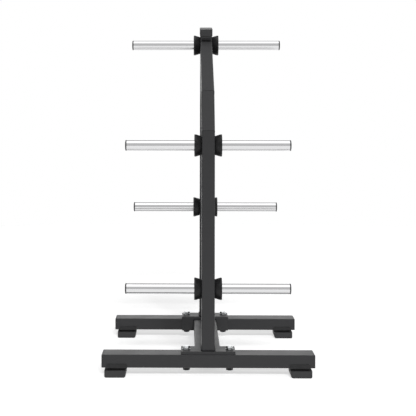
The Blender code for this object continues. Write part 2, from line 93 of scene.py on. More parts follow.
# Rubber foot: the block's outer roll, the neck's corners and the neck's lean, beside the block's own
# inner roll, corners and taper
OUTER_ROLL = 0.7
NECK_CORNER = 0.6
NECK_LEAN = 4
# How deep the neck stands in the block, and how far it stands back from the saddle's ends
NECK_ROOT = 0.002
NECK_OUTER_STEP = 0.001
NECK_INNER_STEP = 0.0005
# Height above which a rubber foot is darker, the fade below that height, and how dark it is up there as a
# share of its colour
DARKER_ABOVE = 0.034
DARKER_FADE = 0.006
UPPER_DARKENING = 0.45

# Points of a horn plug's dome, as shares of its radius and of the dome's rise, and its edge on the horn
DOME = ((0.0, 0.0), (0.35, 0.12), (0.65, 0.42))
PLUG_EDGE = 0.0003
# Ribs on the plug's sleeve: number, place in their share of it, depth, rise and fall, and draw of the tip
RIBS = 3
RIB_PLACE = 0.55
RIB_DEPTH = 0.0008
RIB_RISE = 0.0015
RIB_FALL = 0.0004
SLEEVE_DRAW = 0.0012

# Cone: where its small end lies between bore and rim, and the ease inside its rim beside the rim's rounding
CONE_SMALL_END = 0.725
CONE_EASE_IN = 0.3
CONE_EASE_DOWN = 0.4

# Radius of the base bolts' shanks
SHANK_RADIUS = 0.008
# Hexagons: width of the flat inside the chamfer as a share of the flats, and the chamfer's angle in degrees
CHAMFER_FLAT = 0.97
CHAMFER_ANGLE = 30
# Collar under a bolt's head: width as a share of the flats, height, and how deep it joins the head
COLLAR_FLAT = 0.93
COLLAR_HEIGHT = 0.0004
COLLAR_JOIN = 0.004
# Thread: where in a pitch its crest ends and its root starts and ends
CREST_END = 0.15
ROOT_START = 0.5
ROOT_END = 0.6
# Plain shank above the thread, and below it the bolt's point and how far that draws in
THREAD_START = 0.0005
THREAD_END = 0.001
POINT_HEIGHT = 0.0008
POINT_DRAW = 0.0018

# Washer: its rolled upper edge, the ease of its bore, and where that starts as a share of its thickness
WASHER_ROLL = 0.0008
WASHER_EASE = 0.0005
WASHER_EASE_START = 0.8

# Screw of a rubber foot: its reach into the tube, the chamfers of its end and head, and its socket's depth
SCREW_REACH = 0.009
SCREW_END = 0.0008
SCREW_HEAD_EDGE = 0.0006
SOCKET_DEPTH = 0.0035

# Brightness of the room by angle in the side view: 0 towards the camera, 90 overhead, 180 behind
ROOM = ((0, 0.85), (45, 0.85), (56, 2.1), (108, 2.1), (120, 0.27), (140, 0.27), (153, 1.5), (180, 1.5))
ROOM_STRENGTH = 2.2
# Share of the room that lights dull surfaces; the lamp does the rest
ROOM_DIFFUSE = 0.1
# How far aside the room starts and stops to darken, as a share of straight aside, and what is left there
SIDE_FADE_START = 0.30
SIDE_FADE_END = 0.80
SIDE_LEVEL = 0.20
# How much wider the bright part is overhead than at the horizon
OVERHEAD_SPREAD = 0.4

# Soft lamp: degrees above the floor and to the right of the front, and its aim, distance, size and power
KEY_RISE = 29
KEY_ASIDE = 6
KEY_AIM = Vector((0.0, -0.1, 0.7))
KEY_DISTANCE = 40.0
KEY_WIDTH = 12.0
KEY_HEIGHT = 4.4
KEY_WATTS = 12000.0

# Floor: sides, width of its outer ring, and its extra brightness where it is seen and where it is mirrored
FLOOR_SIDES = 96
FLOOR_RING = 0.5
FLOOR_SEEN = 0.60
FLOOR_MIRRORED = 0.9
WHITE = (1.0, 1.0, 1.0, 1.0)


def linear(colour):
    """sRGB hex such as "#1b1b1c" as linear red, green and blue."""
    channels = [int(colour[i:i + 2], 16) / 255 for i in (1, 3, 5)]
    return tuple(c / 12.92 if c <= 0.04045 else ((c + 0.055) / 1.055) ** 2.4 for c in channels)


def colour_property(name, description, colour):
    """Colour setting with its default given as sRGB hex."""
    return bpy.props.FloatVectorProperty(
        name=name, description=description, subtype="COLOR", size=3, min=0.0, max=1.0, default=linear(colour)
    )


def metres(name, description, default):
    """Length setting in metres."""
    return bpy.props.FloatProperty(
        name=name, description=description, default=default, min=0.0, precision=4,
        subtype="DISTANCE", unit="LENGTH"
    )


class PlateTreeSizes(bpy.types.PropertyGroup):
    """Sizes of what is modelled around the solids."""

    horn_chamfer: metres("Horn chamfer", "Ground edge at a horn's open end", 0.0008)
    horn_wall: metres("Horn wall", "Wall of the horn tube", 0.003)
    plug_rim: metres("Plug rim", "Straight rim of a horn plug before it rounds over", 0.0022)
    plug_dome: metres("Plug dome", "Rise of the horn plug's domed face", 0.0016)
    plug_depth: metres("Plug depth", "Length of the plug inside the horn", 0.020)
    cone_rim: metres("Cone rim", "Width of the cone's straight rim", 0.008)
    cone_round: metres("Cone rounding", "Radius of the cone's rim edges", 0.0016)
    cone_dish: metres("Cone dish", "Depth of the hollow in the cone's face", 0.003)
    weld_radius: metres("Weld radius", "Radius of a weld bead", 0.0032)
    weld_ripple: metres("Weld ripple", "Distance between the ripples of a weld bead", 0.0034)
    # The bead where the crown ends is wide and dark: a real weld, and painted shade for the band under the
    # top cap
    crown_shade_bead_radius: metres("Crown weld radius", "Radius of the bead where the crown ends", 0.0075)
    seam_radius: metres("Seam radius", "Radius of a bead that is ground nearly flush", 0.0007)
    thread_pitch: metres("Thread pitch", "Pitch of the bolts' thread", 0.002)
    thread_depth: metres("Thread depth", "Depth of the bolts' thread", 0.0009)
    screw_head: metres("Screw head", "Height of the head of a rubber foot's screw", 0.006)
    screw_head_radius: metres("Screw head radius", "Radius of that head", 0.0068)
    screw_socket: metres("Screw socket", "Across the flats of its hexagon socket", 0.006)
    screw_radius: metres("Screw radius", "Radius of that screw's shank", 0.004)
    screw_pocket: metres("Screw pocket", "Depth of its pocket in the rubber foot", 0.014)
    foot_outer: metres("Foot outer end", "From the screw to the block's outer end", 0.0438)
    foot_inner: metres("Foot inner end", "From the screw to the block's inner end", 0.0400)
    foot_body: metres("Foot block", "Height of the rubber block", 0.0270)
    foot_taper: metres("Foot taper", "How far the block's inner end draws in at the floor", 0.0012)
    foot_roll: metres("Foot roll", "Radius of the block's lower inner edge", 0.0085)
    foot_corner: metres("Foot corner", "Radius of the block's upright corners", 0.0095)
    foot_edge: metres("Foot edge", "Eased edges of the rubber foot", 0.0008)
    foot_pocket_radius: metres("Foot pocket radius", "Radius of the screw's pocket", 0.0085)
    neck_inset: metres("Neck inset", "How far the neck stands back from the lips", 0.0180)
    saddle_outer: metres("Saddle outer end", "From the screw to the lips' outer end", 0.0360)
    saddle_inner: metres("Saddle inner end", "From the screw to the lips' inner end", 0.0440)
    saddle_corner: metres("Saddle corner", "Radius of the lips' upper corners", 0.0080)
    saddle_floor: metres("Saddle floor", "Rubber between the tube and the neck's top", 0.0010)
    saddle_round: metres("Saddle rounding", "Radius of the lips' long edges", 0.0028)
    tube_corner: metres("Tube corner", "Outer corner radius of the tube", 0.0063)
    edge_round: metres("Edge rounding", "Eased edge of a cut tube or plate", 0.0006)


class PlateTreeColours(bpy.types.PropertyGroup):
    """Colours of the finishes."""

    coat: colour_property("Powder coat", "Black coat on tube and plate", "#363637")
    plastic: colour_property("Moulded plastic", "End caps, plugs and top cap", "#333334")
    rubber: colour_property("Cone rubber", "Cones at the horns' roots", "#111112")
    foot_rubber: colour_property("Foot rubber", "Feet on the floor", "#333334")
    chrome: colour_property("Chrome", "Plated horns", "#c4c4c5")
    zinc: colour_property("Zinc", "Plated bolts and washers", "#bfc1c2")
    black_steel: colour_property("Black steel", "Nuts below the feet", "#1a1a1b")
    # Weld colour, darker than the coat: painted shade along the welded seams
    weld: colour_property("Weld with painted shade", "Weld bead darkened as painted shade", "#232324")
    floor: colour_property("Floor", "Seamless studio floor", "#f2f2f2")


class PlateTreeStage(bpy.types.PropertyGroup):
    """Camera and floor."""

    camera_place: bpy.props.FloatVectorProperty(
        name="Camera place", description="Where the camera stands", subtype="TRANSLATION", unit="LENGTH",
        size=3, default=(-0.0793, -4.25651, 0.95323)
    )
    camera_turn: bpy.props.FloatProperty(
        name="Camera turn", description="Turn of the camera to the left", subtype="ANGLE", default=0.01181
    )
    camera_roll: bpy.props.FloatProperty(
        name="Camera roll", description="Roll of the camera about its axis", subtype="ANGLE", default=0.00111
    )
    lens: bpy.props.FloatProperty(name="Lens", description="Focal length in mm", default=85.963, min=1.0)
    shift_x: bpy.props.FloatProperty(name="Shift X", description="Sideways shift", default=0.07641)
    shift_y: bpy.props.FloatProperty(name="Shift Y", description="Upright shift", default=-0.18515)
    floor_radius: metres("Floor radius", "Radius of the studio floor", 6.0)


# Small tools


def deselect():
    """Leave nothing selected and no active object."""
    bpy.ops.object.select_all(action="DESELECT")
    bpy.context.view_layer.objects.active = None


def pick(piece):
    """Make one piece the only selected and the active one."""
    deselect()
    piece.select_set(True)
    bpy.context.view_layer.objects.active = piece


def named(piece, name):
    """Name a piece and its mesh."""
    piece.name = name
    piece.data.name = name
    return piece


def edit(piece, kind="VERT", action="SELECT"):
    """Enter edit mode on a piece with all or none of it selected."""
    pick(piece)
    bpy.ops.object.mode_set(mode="EDIT")
    bpy.ops.mesh.select_mode(type=kind)
    bpy.ops.mesh.select_all(action=action)


def leave_edit():
    """Back to object mode."""
    bpy.ops.object.mode_set(mode="OBJECT")


def edit_edges(piece, wanted):
    """Enter edit mode on a piece with some edges selected, given as one answer for each edge."""
    edit(piece, "EDGE", "DESELECT")
    leave_edit()
    for edge, answer in zip(piece.data.edges, wanted):
        edge.select = answer
    bpy.ops.object.mode_set(mode="EDIT")


def close_surface():
    """Merge doubled points in edit mode, turn all faces outwards and go back to object mode."""
    bpy.ops.mesh.select_all(action="SELECT")
    bpy.ops.mesh.remove_doubles(threshold=MERGE)
    bpy.ops.mesh.normals_make_consistent(inside=False)
    leave_edit()


def settle(piece, location=(0.0, 0.0, 0.0), turn=Matrix()):
    """Move and turn a piece, then put its place into its mesh."""
    piece.matrix_world = Matrix.Translation(location) @ turn
    pick(piece)
    bpy.ops.object.transform_apply(location=True, rotation=True, scale=True)


def apply_modifier(piece, kind, **settings):
    """Add a modifier to a piece and apply it."""
    pick(piece)
    modifier = piece.modifiers.new(kind, kind)
    for key, value in settings.items():
        setattr(modifier, key, value)
    bpy.ops.object.modifier_apply(modifier=modifier.name)


def smooth(piece, degrees=35):
    """Shade a piece smooth, keep its corners and let its wide faces look flat."""
    pick(piece)
    bpy.ops.object.shade_smooth_by_angle(angle=math.radians(degrees))
    apply_modifier(piece, "WEIGHTED_NORMAL", keep_sharp=True)


def ease_edges(piece, width, segments, degrees):
    """Bevel the edges of a piece that are sharper than an angle."""
    angle = math.radians(degrees)
    apply_modifier(piece, "BEVEL", width=width, segments=segments, limit_method="ANGLE", angle_limit=angle)


def combine(piece, cutter, operation):
    """Cut, join or intersect a piece with another one, which is used up."""
    apply_modifier(piece, "BOOLEAN", operation=operation, solver="EXACT", object=cutter)
    drop(cutter)


def drop(piece):
    """Remove a piece that only served for cutting or copying."""
    bpy.data.objects.remove(piece, do_unlink=True)


def node_span(node):
    """Middle of a solid's box and its three extents."""
    low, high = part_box(node)
    return (low + high) / 2, high - low


def in_side_view(degrees):
    """Direction in the side view: 0 points to the rear, 90 up and 180 to the front."""
    angle = math.radians(degrees)
    return Vector((0.0, math.cos(angle), math.sin(angle)))


def rounding(centre_across, centre_height, radius, start, end, steps):
    """Points of an arc in an outline, with its angles in degrees from the outline's outward direction."""
    points = []
    for step in range(steps + 1):
        angle = math.radians(start + (end - start) * step / steps)
        points.append((centre_across + radius * math.cos(angle), centre_height + radius * math.sin(angle)))
    return points


# Forms


def copy_of_node(node):
    """Merged copy of a solid, with flat faces made whole again."""
    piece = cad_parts[node].copy()
    piece.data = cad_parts[node].data.copy()
    for key in list(piece.keys()):
        del piece[key]
    piece.parent = None
    piece.matrix_world = Matrix()
    piece.hide_viewport = False
    piece.hide_render = False
    bpy.context.scene.collection.objects.link(named(piece, node + "_surface"))
    edit(piece)
    bpy.ops.mesh.remove_doubles(threshold=MERGE)
    bpy.ops.mesh.dissolve_limited(angle_limit=math.radians(FLAT_WITHIN))
    bpy.ops.mesh.normals_make_consistent(inside=False)
    leave_edit()
    return piece


def drawn(name, points):
    """Line drawn point by point from a merged scrap of plane, left open in edit mode."""
    deselect()
    bpy.ops.mesh.primitive_plane_add(size=PAST, location=(0.0, 0.0, 0.0))
    piece = named(bpy.context.active_object, name)
    edit(piece)
    bpy.ops.mesh.merge(type="CENTER")
    bpy.ops.transform.translate(value=points[0])
    for point, following in zip(points, points[1:]):
        step = [after - before for before, after in zip(point, following)]
        bpy.ops.mesh.extrude_region_move(TRANSFORM_OT_translate={"value": step})
    return piece


def turned(name, profile, sides):
    """Profile of (radius, height) pairs, drawn and spun about Z into a closed piece."""
    piece = drawn(name, [(radius, 0.0, height) for radius, height in profile])
    bpy.ops.mesh.select_all(action="SELECT")
    bpy.ops.mesh.spin(steps=sides, angle=2 * math.pi, center=(0.0, 0.0, 0.0), axis=(0.0, 0.0, 1.0))
    close_surface()
    return piece


def slab(name, outline, half):
    """Closed outline in X and Z, filled and drawn out to either side of the middle."""
    piece = drawn(name, [(x, -half, z) for x, z in outline])
    bpy.ops.mesh.select_all(action="SELECT")
    bpy.ops.mesh.edge_face_add()
    bpy.ops.mesh.extrude_region_move(TRANSFORM_OT_translate={"value": (0.0, 2 * half, 0.0)})
    close_surface()
    return piece


def edge_vector(piece, edge):
    """Vector from one end of an edge to the other."""
    first, second = (piece.data.vertices[index].co for index in edge.vertices)
    return second - first


def rounded_bar(name, low, high, radius, steps):
    """Box between two corners whose four upright edges are rounded."""
    deselect()
    low, high = Vector(low), Vector(high)
    bpy.ops.mesh.primitive_cube_add(size=1.0, location=(low + high) / 2, scale=high - low)
    piece = named(bpy.context.active_object, name)
    bpy.ops.object.transform_apply(location=True, rotation=True, scale=True)
    half = (high.z - low.z) / 2
    edit_edges(piece, [abs(edge_vector(piece, edge).z) > half for edge in piece.data.edges])
    bpy.ops.mesh.bevel(offset=radius, segments=steps)
    leave_edit()
    return piece


def rod(name, radius, low, high):
    """Round rod about Z between two heights."""
    return turned(name, [(0.0, low), (radius, low), (radius, high), (0.0, high)], BOLT_SIDES)


def hexagon_prism(name, flats, low, high):
    """Hexagon bar between two heights, with two corners along X."""
    deselect()
    corner, height, middle = flats / math.sqrt(3), high - low, Vector((0.0, 0.0, (low + high) / 2))
    bpy.ops.mesh.primitive_cylinder_add(vertices=6, radius=corner, depth=height, location=middle)
    piece = named(bpy.context.active_object, name)
    settle(piece, middle, Matrix.Rotation(math.pi / 6, 4, "Z"))
    return piece


def chamfered_hexagon(name, flats, low, high, both_ends):
    """Hexagon whose corners are turned off at the top, or at both ends."""
    piece = hexagon_prism(name, flats, low, high)
    corner = flats / math.sqrt(3) + HAIR
    flat = flats / 2 * CHAMFER_FLAT
    fall = (corner - flat) * math.tan(math.radians(CHAMFER_ANGLE))
    profile = [(0.0, low - HAIR), (corner, low - HAIR)]
    if both_ends:
        profile = [(0.0, low), (flat, low), (corner, low + fall)]
    profile += [(corner, high - fall), (flat, high), (0.0, high)]
    combine(piece, turned(name + "_turning", profile, BOLT_SIDES), "INTERSECT")
    return piece


def thread_profile(radius, depth, pitch, high, low):
    """Outline of a thread between two heights, from the top down."""
    points = []
    height = high
    while height - pitch > low:
        points += [(radius, height), (radius, height - CREST_END * pitch)]
        points += [(radius - depth, height - share * pitch) for share in (ROOT_START, ROOT_END)]
        height -= pitch
    return points


# Weld beads


def edges_between(piece, first, second):
    """Edges where a face that looks one way meets one that looks another or, with none given, looks aside."""
    middle = sum((vertex.co for vertex in piece.data.vertices), Vector()) / len(piece.data.vertices)
    ends, others = set(), set()
    for face in piece.data.polygons:
        if second is None:
            outward = (face.center - middle).dot(face.normal) > 0
            meets = outward and abs(face.normal.dot(first)) < ALIGNED_ASIDE
        else:
            meets = face.normal.dot(second) > ALIGNED
        if face.normal.dot(first) > ALIGNED:
            ends.update(face.edge_keys)
        elif meets:
            others.update(face.edge_keys)
    return ends & others


def rail_along(node, name, first, second=None):
    """Edges of a solid taken out as a line for a weld bead."""
    rail = named(copy_of_node(node), name)
    chosen = edges_between(rail, first, second)
    if not chosen:
        raise RuntimeError("no edge for " + name)
    edit_edges(rail, [edge.key in chosen for edge in rail.data.edges])
    bpy.ops.mesh.duplicate()
    bpy.ops.mesh.select_all(action="INVERT")
    bpy.ops.mesh.delete(type="VERT")
    leave_edit()
    return rail


def divide(rail, step):
    """Divide the edges of a line evenly into steps of about one length."""
    while True:
        cuts = [round(edge_vector(rail, edge).length / step) - 1 for edge in rail.data.edges]
        most = max(cuts)
        if most < 1:
            return
        edit_edges(rail, [wanted == most for wanted in cuts])
        bpy.ops.mesh.subdivide(number_cuts=most)
        leave_edit()


def bead(rail, radius, ripple):
    """Weld bead of even ripples along a line."""
    divide(rail, ripple / 2)
    pick(rail)
    bpy.ops.object.convert(target="CURVE")
    curve = rail.data
    curve.bevel_depth = radius
    curve.bevel_resolution = 2
    curve.use_fill_caps = True
    for spline in curve.splines:
        for number, point in enumerate(spline.points):
            point.radius = 1.0 if number % 2 else RIPPLE_WAIST
    bpy.ops.object.convert(target="MESH")
    edit(rail)
    close_surface()
    smooth(rail, 60)
    # The weld finish is darker than the coat: painted shade along the seam
    finish_piece(rail, "weld")


# Materials


def add_node(tree, kind, inputs=None, **attributes):
    """Add a node with its attributes; an input is given a value, or the output that is linked to it."""
    node = tree.nodes.new(kind)
    for key, value in attributes.items():
        setattr(node, key, value)
    for key, value in (inputs or {}).items():
        if isinstance(value, bpy.types.NodeSocket):
            tree.links.new(value, node.inputs[key])
        else:
            node.inputs[key].default_value = value
    return node


def four(colour, shade=1.0):
    """Colour made darker or lighter, with an alpha of one."""
    return (*(min(1.0, channel * shade) for channel in colour), 1.0)


def per_metre(millimetres):
    """Noise scale whose features are about this many millimetres across."""
    return 1000.0 / millimetres


def new_material(name):
    """Empty material, its tree, and the object coordinates that its patterns lie on."""
    made = bpy.data.materials.new(name)
    made.use_nodes = True
    made.node_tree.nodes.clear()
    return made, made.node_tree, add_node(made.node_tree, "ShaderNodeTexCoord").outputs["Object"]


def close_material(tree, inputs):
    """Shader with its inputs, and the output, of a material."""
    shader = add_node(tree, "ShaderNodeBsdfPrincipled", inputs)
    add_node(tree, "ShaderNodeOutputMaterial", {"Surface": shader.outputs["BSDF"]})


def drifting(tree, noise, colour, shades, roughness):
    """Shader inputs whose colour and roughness drift with a noise, which runs from about 0.3 to 0.7."""
    low, high = roughness
    ends = {"A": four(colour, shades[0]), "B": four(colour, shades[1])}
    tint = add_node(tree, "ShaderNodeMix", {"Factor": noise, **ends}, data_type="RGBA")
    reach = {"From Min": 0.3, "From Max": 0.7, "To Min": low, "To Max": high}
    dullness = add_node(tree, "ShaderNodeMapRange", {"Value": noise, **reach})
    return {"Base Color": tint.outputs["Result"], "Roughness": dullness.outputs["Result"]}


def uneven_surface(
    name, colour, shades, roughness, patches, grain=None, relief=None, ior=1.5, gloss=0.5, metallic=0.0
):
    """Material that drifts over patches and is bumpy with a grain, or with the patches themselves.

    Patches and grain are a size and a detail, relief is a depth and a strength, and lengths are millimetres.
    """
    made, tree, place = new_material(name)
    noises = [
        add_node(tree, "ShaderNodeTexNoise", {"Vector": place, "Scale": per_metre(size), "Detail": detail})
        for size, detail in ((patches, grain) if grain else (patches,))
    ]
    inputs = drifting(tree, noises[0].outputs["Fac"], colour, shades, roughness)
    if relief:
        surface = {"Height": noises[-1].outputs["Fac"], "Distance": relief[0] / 1000, "Strength": relief[1]}
        inputs["Normal"] = add_node(tree, "ShaderNodeBump", surface).outputs["Normal"]
    close_material(tree, {**inputs, "IOR": ior, "Specular IOR Level": gloss, "Metallic": metallic})
    return made


def polyester_powder_coat(colours):
    """Polyester powder, sprayed and baked: an even black film whose fine orange peel softens reflections."""
    return uneven_surface(
        "polyester_powder_coat", colours.coat, shades=(0.93, 1.07), roughness=(0.40, 0.46),
        patches=(90.0, 3.0), grain=(2.6, 1.5), relief=(0.03, 0.35), gloss=0.15
    )


def weld_coat_painted_shade(colours):
    """Powder coat over a weld bead, darker than the coat: painted shade, so the seams read as dark lines."""
    return uneven_surface(
        "weld_coat_painted_shade", colours.weld, shades=(0.85, 1.15), roughness=(0.55, 0.68),
        patches=(1.4, 3.0), relief=(0.05, 0.4), gloss=0.1
    )


def moulded_polypropylene(colours):
    """Injection moulded polypropylene: fine, even satin of the spark-eroded mould, drawn coarser."""
    return uneven_surface(
        "moulded_polypropylene", colours.plastic, shades=(0.92, 1.08), roughness=(0.40, 0.50),
        patches=(0.9, 2.0), relief=(0.02, 0.3), ior=1.49, gloss=0.25
    )


def vulcanised_rubber(colours):
    """Pressed and vulcanised cone: carbon black with a waxy, slightly cloudy skin, grain drawn coarser."""
    return uneven_surface(
        "vulcanised_rubber", colours.rubber, shades=(0.88, 1.12), roughness=(0.40, 0.50),
        patches=(22.0, 3.0), grain=(0.7, 3.0), relief=(0.02, 0.1), ior=1.52, gloss=0.25
    )


def moulded_foot_rubber(colours):
    """Compression moulded floor rubber: a grey block and a darker saddle above a set height, grain drawn
    coarser.
    """
    made = uneven_surface(
        "moulded_foot_rubber", colours.foot_rubber, shades=(0.92, 1.08), roughness=(0.60, 0.72),
        patches=(18.0, 3.0), grain=(0.8, 3.0), relief=(0.05, 0.3), ior=1.52, gloss=0.3
    )
    tree = made.node_tree
    base = tree.nodes["Principled BSDF"].inputs["Base Color"]
    place = add_node(tree, "ShaderNodeTexCoord")
    axes = add_node(tree, "ShaderNodeSeparateXYZ", {"Vector": place.outputs["Object"]})
    # Above a set height the foot's colour is darker, fading in below it
    reach = {"From Min": DARKER_ABOVE, "From Max": DARKER_ABOVE - DARKER_FADE}
    height_ramp = add_node(tree, "ShaderNodeMapRange", {"Value": axes.outputs["Z"], **reach})
    ends = {"A": four(colours.foot_rubber, UPPER_DARKENING), "B": base.links[0].from_socket}
    upper_mix = add_node(tree, "ShaderNodeMix", {"Factor": height_ramp.outputs["Result"], **ends}, data_type="RGBA")
    tree.links.new(upper_mix.outputs["Result"], base)
    return made


def zinc_plated_steel(colours):
    """Cold-headed steel with bright zinc: soft blurred gleam, slightly uneven from the plating barrel."""
    return uneven_surface(
        "zinc_plated_steel", colours.zinc, shades=(0.92, 1.03), roughness=(0.13, 0.22),
        patches=(7.0, 2.0), metallic=1.0
    )


def black_oxide_steel(colours):
    """Steel nut blacked in a hot salt bath and oiled: dark with a dull metal gleam."""
    return uneven_surface(
        "black_oxide_steel", colours.black_steel, shades=(0.85, 1.2), roughness=(0.38, 0.52),
        patches=(2.0, 3.0), relief=(0.01, 0.2), metallic=0.6
    )


def chromed_steel(colours):
    """Bright chrome over polished tube: a hard mirror, with faint hairlines from plates, drawn coarser."""
    made, tree, place = new_material("chromed_steel")
    scales = [per_metre(size) for size in (0.9, 14.0, 14.0)]
    around = add_node(tree, "ShaderNodeMapping", {"Vector": place, "Scale": scales}).outputs["Vector"]
    lines = add_node(tree, "ShaderNodeTexNoise", {"Vector": around, "Scale": 1.0, "Detail": 3.0})
    inputs = drifting(tree, lines.outputs["Fac"], colours.chrome, (0.98, 1.0), (0.07, 0.09))
    close_material(tree, {**inputs, "Metallic": 1.0})
    return made


# Each finish: what makes its material, and the slot that the material fills
FINISHES = {
    "coat": (polyester_powder_coat, "black_powder_coat"),
    "weld": (weld_coat_painted_shade, "black_powder_coat"),
    "plastic": (moulded_polypropylene, "moulded_plastic"),
    "rubber": (vulcanised_rubber, "rubber"),
    "foot_rubber": (moulded_foot_rubber, "rubber"),
    "chrome": (chromed_steel, "chrome_plate"),
    "zinc": (zinc_plated_steel, "zinc_plated_steel"),
    "black_steel": (black_oxide_steel, "black_oxide_steel"),
}
# Materials made so far, by finish
MADE = {}


# Finished pieces


def finish_piece(piece, finish, *nodes):
    """Give a finished piece its material and body, and hide the nodes that it stands for."""
    maker, slot = FINISHES[finish]
    if finish not in MADE:
        MADE[finish] = maker(bpy.context.scene.plate_tree_colours)
    piece.data.materials.clear()
    piece.data.materials.append(MADE[finish])
    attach(piece, BODY)
    if nodes:
        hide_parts(*nodes)


def dress(nodes, finish, edge=0.0, degrees=35):
    """Finished copies of solids, smoothed up to an angle, with their edges eased where a width is given."""
    for node in nodes:
        piece = copy_of_node(node)
        if edge:
            ease_edges(piece, edge, 1, 60)
        smooth(piece, degrees)
        finish_piece(piece, finish, node)


def place_copy(master, name, location, turn):
    """Copy of a piece with its own mesh, put in its place."""
    piece = master.copy()
    piece.data = master.data.copy()
    bpy.context.scene.collection.objects.link(named(piece, name))
    settle(piece, location, turn)
    return piece


def place_at_feet(master, name, finish, nodes, height=0.0, stands_for_nodes=True):
    """Use a piece up as a finished copy over each of four nodes; those on the left are turned half round."""
    for foot in FEET:
        node = nodes.format(foot)
        middle, _ = node_span(node)
        turn = Matrix.Rotation(math.pi if "left" in foot else 0.0, 4, "Z")
        piece = place_copy(master, name.format(foot), (middle.x, middle.y, height), turn)
        finish_piece(piece, finish, *([node] if stands_for_nodes else []))
    drop(master)


def place_on_horns(master, kind, ending, finish, sleeve=0.0):
    """Use a piece up as a finished copy on each horn, its zero a sleeve's length out from the node's root."""
    for row in ROWS:
        for side, sign in SIDES.items():
            node = f"{kind}_{row}_{side}"
            middle, extent = node_span(node)
            root = middle - Vector((sign * (extent.x / 2 - sleeve), 0.0, 0.0))
            piece = place_copy(master, node + ending, root, Matrix.Rotation(sign * math.pi / 2, 4, "Y"))
            finish_piece(piece, finish, node)
    drop(master)


# Operators


class PLATETREE_OT_tubes(bpy.types.Operator):
    """Smooth coated surfaces for the welded tubes"""

    bl_idname = "plate_tree.tubes"
    bl_label = "Frame tubes"

    def execute(self, context):
        dress(TUBES, "coat", context.scene.plate_tree_sizes.edge_round)
        return {"FINISHED"}


class PLATETREE_OT_plates(bpy.types.Operator):
    """Bent brackets and the web plates under the crown"""

    bl_idname = "plate_tree.plates"
    bl_label = "Brackets and web plates"

    def execute(self, context):
        dress(PLATES, "coat", context.scene.plate_tree_sizes.edge_round)
        return {"FINISHED"}


class PLATETREE_OT_caps(bpy.types.Operator):
    """Moulded caps of the feet and of the rear upright"""

    bl_idname = "plate_tree.caps"
    bl_label = "Moulded caps"

    def execute(self, context):
        dress(CAPS, "plastic", degrees=50)
        return {"FINISHED"}


class PLATETREE_OT_rubber_feet(bpy.types.Operator):
    """Rubber feet: a block on the floor, a recessed neck and a saddle that grips the tube"""

    bl_idname = "plate_tree.rubber_feet"
    bl_label = "Rubber feet"

    def execute(self, context):
        sizes = context.scene.plate_tree_sizes
        low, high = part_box("rubber_foot_front_right")
        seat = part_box("front_foot_tube")[0].z
        depth = (high.y - low.y) / 2
        foot = self.block(sizes, depth)
        combine(foot, self.neck(sizes, depth, seat), "UNION")
        combine(foot, self.saddle(sizes, depth, seat, high.z), "UNION")
        combine(foot, rod("foot_pocket", sizes.foot_pocket_radius, -PAST, sizes.screw_pocket), "DIFFERENCE")
        combine(foot, rod("foot_hole", sizes.screw_radius + CLEARANCE, 0.0, seat + PAST), "DIFFERENCE")
        ease_edges(foot, sizes.foot_edge, 2, 40)
        smooth(foot, 40)
        place_at_feet(foot, "rubber_foot_{}_moulding", "foot_rubber", "rubber_foot_{}")
        return {"FINISHED"}

    def standing(self, name, outline, half, corner, steps):
        """Slab across the tube with its upright corners rounded."""
        piece = slab(name, outline, half)
        across = [x for x, _ in outline]
        low, high = (min(across), -half, -PAST), (max(across), half, PLAN_TOP)
        combine(piece, rounded_bar(name + "_plan", low, high, corner, steps), "INTERSECT")
        return piece

    def block(self, sizes, depth):
        """Block on the floor, with a rolled lower edge at either end."""
        outer, inner, height = sizes.foot_outer, -sizes.foot_inner, sizes.foot_body
        ease, roll, outer_roll = sizes.foot_edge, sizes.foot_roll, sizes.foot_roll * OUTER_ROLL
        outline = rounding(outer - outer_roll, outer_roll, outer_roll, -90, 0, 5)
        outline += rounding(outer - ease, height - ease, ease, 0, 90, 2)
        outline += rounding(inner + ease, height - ease, ease, 90, 180, 2)
        outline += rounding(inner + sizes.foot_taper + roll, roll, roll, 180, 270, 6)
        return self.standing("foot_block", outline, depth, sizes.foot_corner, 6)

    def neck(self, sizes, depth, seat):
        """Neck that stands back under the tube and leans on the inner side."""
        outer, inner = sizes.saddle_outer - NECK_OUTER_STEP, NECK_INNER_STEP - sizes.saddle_inner
        bottom, top = sizes.foot_body - NECK_ROOT, seat - sizes.saddle_floor / 2
        root, corner = inner + NECK_LEAN * sizes.foot_taper, NECK_CORNER * sizes.foot_corner
        outline = [(root, bottom), (outer, bottom), (outer, top), (inner, top)]
        return self.standing("foot_neck", outline, depth - sizes.neck_inset, corner, 4)

    def saddle(self, sizes, depth, seat, top):
        """Saddle with a lip on either face of the tube."""
        outer, inner, corner = sizes.saddle_outer, -sizes.saddle_inner, sizes.saddle_corner
        under = seat - sizes.saddle_floor
        outline = [(inner, under), (outer, under)]
        outline += rounding(outer - corner, top - corner, corner, 0, 90, 5)
        outline += rounding(inner + corner, top - corner, corner, 90, 180, 5)
        saddle = slab("foot_saddle", outline, depth)
        _, tube = node_span("front_foot_tube")
        half = tube.y / 2 + CLEARANCE
        along = Matrix.Rotation(-math.pi / 2, 4, "Y")
        low, high = (0.0, -depth, -FOOT_REACH), (top - under, depth, FOOT_REACH)
        roll = rounded_bar("saddle_roll", low, high, sizes.saddle_round, 4)
        settle(roll, (0.0, 0.0, under), along)
        combine(saddle, roll, "INTERSECT")
        low, high = (0.0, -half, -FOOT_REACH), (FOOT_REACH, half, FOOT_REACH)
        hollow = rounded_bar("saddle_hollow", low, high, sizes.tube_corner, 5)
        settle(hollow, (0.0, 0.0, seat - HAIR), along)
        combine(saddle, hollow, "DIFFERENCE")
        return saddle


